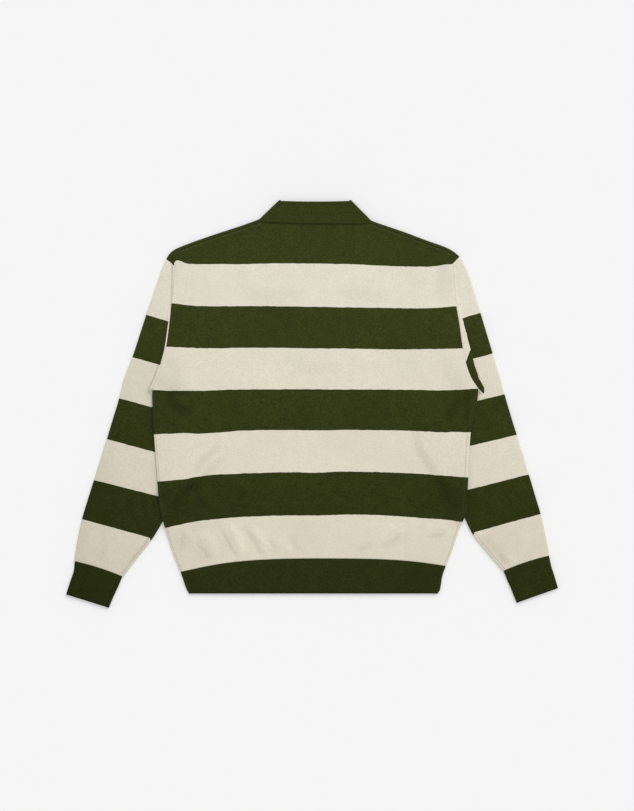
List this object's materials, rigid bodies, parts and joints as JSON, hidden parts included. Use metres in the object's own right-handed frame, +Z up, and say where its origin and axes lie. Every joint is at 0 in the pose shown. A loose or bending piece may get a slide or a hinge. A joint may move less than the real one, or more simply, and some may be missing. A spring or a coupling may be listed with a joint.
{
  "type": "polo sweater",
  "caption": "Striped knit polo sweater with a folded collar and ribbed hem and cuffs, laid flat on its front with the sleeves down.",
  "frame": {"origin": "on the surface the garment lies on, under the middle of its outline", "axes": "+X to the right as seen from above with the collar away from the viewer, +Y towards the collar, +Z up from the surface, out of the garment's back"},
  "size_m": [0.8746, 0.7255, 0.0109],
  "materials": {
    "striped_knit": "fine jersey knit in wide dark green and cream stripes, matte",
    "green_rib": "fine rib knit, dark green, matte",
    "button": "satin four-hole buttons, dark green"
  },
  "bodies": {
    "root": {"back_panel": "striped_knit", "front_panel": "striped_knit", "sleeve_left": "striped_knit", "sleeve_right": "striped_knit", "hem_band_back": "green_rib", "hem_band_front": "green_rib", "cuff_left": "green_rib", "cuff_right": "green_rib", "collar": "green_rib", "placket_top": "green_rib", "placket_under": "green_rib", "button_1": "button", "button_2": "button", "button_3": "button"}
  },
  "joints": []
}
